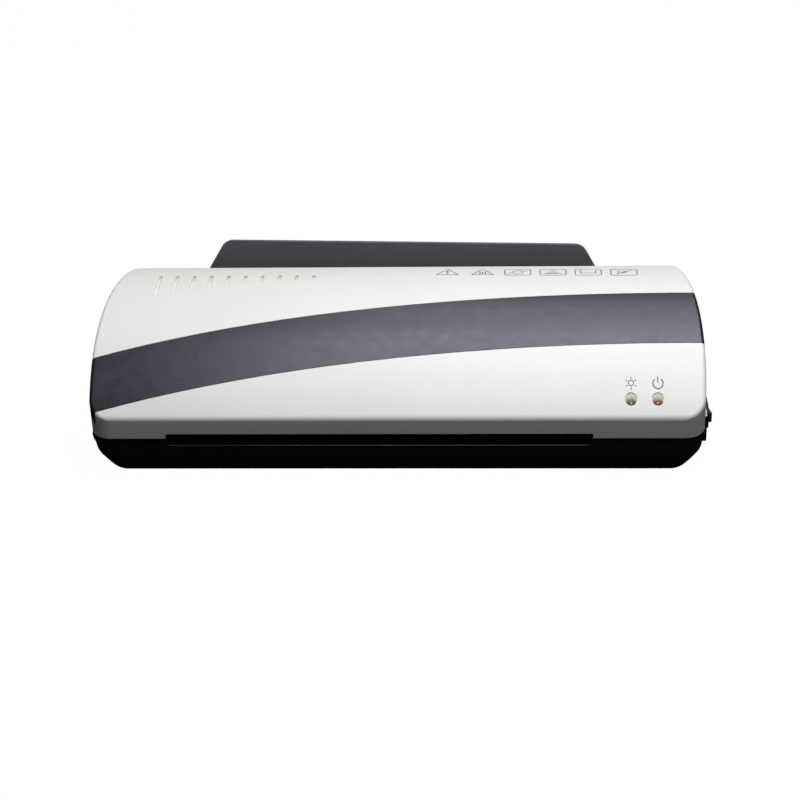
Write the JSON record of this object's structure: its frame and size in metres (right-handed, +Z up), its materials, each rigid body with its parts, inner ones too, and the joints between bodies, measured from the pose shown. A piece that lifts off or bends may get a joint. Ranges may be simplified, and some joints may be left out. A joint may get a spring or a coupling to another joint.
{
  "type": "pouch laminator",
  "caption": "Desktop A4 pouch laminator: low domed cover with an accent band, front exit slot, rear feed tray that folds, power rocker, hot rollers, gear train and mains cord.",
  "frame": {"origin": "bottom centre of the bounding box: middle of the width and depth, at table height", "axes": "+X to the right seen from the front, +Y from the front exit slot to the rear feed tray, +Z up"},
  "size_m": [0.364, 0.1944, 0.0755],
  "materials": {
    "cover_white": "satin, fine moulded texture",
    "accent_grey": "satin",
    "case_black": "fine matt texture",
    "tray_grey": "fine matt texture",
    "switch_black": "semi-gloss",
    "foot_rubber": "matt",
    "zinc_screw": "zinc plated",
    "bright_pin": "drawn",
    "galvanised_sheet": "galvanised sheet",
    "turned_steel": "turned",
    "roller_silicone": "matt silicone rubber",
    "natural_nylon": "moulded",
    "spring_steel": "drawn wire",
    "gear_acetal": "moulded",
    "motor_zinc": "zinc plated pressing",
    "platen_aluminium": "rolled",
    "heater_ceramic": "matt",
    "phenolic_brown": "moulded",
    "fuse_ceramic": "matt",
    "guide_plastic": "moulded",
    "board_laminate": "solder mask",
    "led_green": "tinted clear resin",
    "led_red": "tinted clear resin",
    "cord_black": "matt",
    "relief_black": "moulded",
    "tie_white": "moulded",
    "plug_nickel": "nickel plated",
    "wire_insulation": "extruded"
  },
  "bodies": {
    "housing": {"accent_band": "accent_grey", "upper_cover": "cover_white", "lower_case": "case_black", "rubber_feet": "foot_rubber", "case_screws": "zinc_screw", "tray_hinge_pins": "bright_pin", "power_switch_housing": "switch_black", "left_side_frame": "galvanised_sheet", "right_side_frame": "galvanised_sheet", "cross_bars": "turned_steel", "tie_rod_screws": "zinc_screw", "chassis_screws": "zinc_screw", "lower_roller_bushes": "natural_nylon", "front_pressure_springs": "spring_steel", "rear_pressure_springs": "spring_steel", "idler_axles": "bright_pin", "idler_retaining_clips": "spring_steel", "drive_motor": "motor_zinc", "motor_standoffs": "bright_pin", "motor_screws": "zinc_screw", "lower_heater_platen": "platen_aluminium", "upper_heater_platen": "platen_aluminium", "platen_screws": "zinc_screw", "lower_heating_element": "heater_ceramic", "upper_heating_element": "heater_ceramic", "thermostat": "phenolic_brown", "thermal_fuse": "fuse_ceramic", "exit_guide": "guide_plastic", "entry_guide": "guide_plastic", "control_board": "board_laminate", "board_screws": "zinc_screw", "green_led": "led_green", "red_led": "led_red", "power_cord": "cord_black", "cord_strain_relief": "relief_black", "cord_tie": "tie_white", "mains_plug": "cord_black", "plug_pins": "plug_nickel", "wire_harness": "wire_insulation"},
    "tray": {"input_tray": "tray_grey"},
    "switch_rocker": {"power_switch_rocker": "switch_black"},
    "front_upper_carriage": {"front_upper_bearing_blocks": "natural_nylon"},
    "rear_upper_carriage": {"rear_upper_bearing_blocks": "natural_nylon"},
    "middle_idler": {"middle_idler_gear": "gear_acetal"},
    "front_idler": {"front_idler_gear": "gear_acetal"},
    "rear_idler": {"rear_idler_gear": "gear_acetal"},
    "motor_rotor": {"motor_pinion": "gear_acetal", "motor_output_shaft": "turned_steel"},
    "front_lower_roller": {"front_lower_roller_shaft": "turned_steel", "front_lower_roller_sleeve": "roller_silicone", "front_lower_roller_gear": "gear_acetal"},
    "front_upper_roller": {"front_upper_roller_shaft": "turned_steel", "front_upper_roller_sleeve": "roller_silicone", "front_upper_roller_gear": "gear_acetal"},
    "rear_lower_roller": {"rear_lower_roller_shaft": "turned_steel", "rear_lower_roller_sleeve": "roller_silicone", "rear_lower_roller_gear": "gear_acetal"},
    "rear_upper_roller": {"rear_upper_roller_shaft": "turned_steel", "rear_upper_roller_sleeve": "roller_silicone", "rear_upper_roller_gear": "gear_acetal"}
  },
  "joints": [
    {"name": "tray_fold", "type": "hinge", "parent": "housing", "child": "tray", "pos_m": [-0.00454, 0.04105, 0.027], "axis": [-1, 0, 0], "range_deg": [0, 62]},
    {"name": "rocker_press", "type": "hinge", "parent": "housing", "child": "switch_rocker", "pos_m": [0.17746, -0.05575, 0.0161], "axis": [0, 0, -1], "range_deg": [0, 16]},
    {"name": "front_upper_float", "type": "slide", "parent": "housing", "child": "front_upper_carriage", "axis": [0, 0, 1], "range_m": [0, 0.001], "deforming": ["front_pressure_springs"]},
    {"name": "rear_upper_float", "type": "slide", "parent": "housing", "child": "rear_upper_carriage", "axis": [0, 0, 1], "range_m": [0, 0.001], "deforming": ["rear_pressure_springs"]},
    {"name": "front_lower_spin", "type": "hinge", "parent": "housing", "child": "front_lower_roller", "pos_m": [-0.01154, -0.06325, 0.01635], "axis": [1, 0, 0], "continuous": true},
    {"name": "front_upper_spin", "type": "hinge", "parent": "front_upper_carriage", "child": "front_upper_roller", "pos_m": [-0.01154, -0.06325, 0.03465], "axis": [1, 0, 0], "continuous": true},
    {"name": "rear_lower_spin", "type": "hinge", "parent": "housing", "child": "rear_lower_roller", "pos_m": [-0.01154, 0.00275, 0.01981], "axis": [1, 0, 0], "continuous": true},
    {"name": "rear_upper_spin", "type": "hinge", "parent": "rear_upper_carriage", "child": "rear_upper_roller", "pos_m": [-0.01154, 0.00275, 0.03811], "axis": [1, 0, 0], "continuous": true},
    {"name": "front_idler_spin", "type": "hinge", "parent": "housing", "child": "front_idler", "pos_m": [-0.01154, -0.04625, 0.01724], "axis": [1, 0, 0], "continuous": true},
    {"name": "middle_idler_spin", "type": "hinge", "parent": "housing", "child": "middle_idler", "pos_m": [-0.01154, -0.03025, 0.01808], "axis": [1, 0, 0], "continuous": true},
    {"name": "rear_idler_spin", "type": "hinge", "parent": "housing", "child": "rear_idler", "pos_m": [-0.01154, -0.01425, 0.01892], "axis": [1, 0, 0], "continuous": true},
    {"name": "motor_spin", "type": "hinge", "parent": "housing", "child": "motor_rotor", "pos_m": [-0.01154, -0.03025, 0.03313], "axis": [1, 0, 0], "continuous": true}
  ],
  "couplings": [
    {"joint": "front_idler_spin", "follows": "front_lower_spin", "ratio": -1.125},
    {"joint": "middle_idler_spin", "follows": "front_lower_spin", "ratio": 1.125},
    {"joint": "rear_idler_spin", "follows": "front_lower_spin", "ratio": -1.125},
    {"joint": "rear_lower_spin", "follows": "front_lower_spin", "ratio": 1},
    {"joint": "front_upper_spin", "follows": "front_lower_spin", "ratio": -1},
    {"joint": "rear_upper_spin", "follows": "front_lower_spin", "ratio": -1},
    {"joint": "motor_spin", "follows": "front_lower_spin", "ratio": -1.2857}
  ]
}
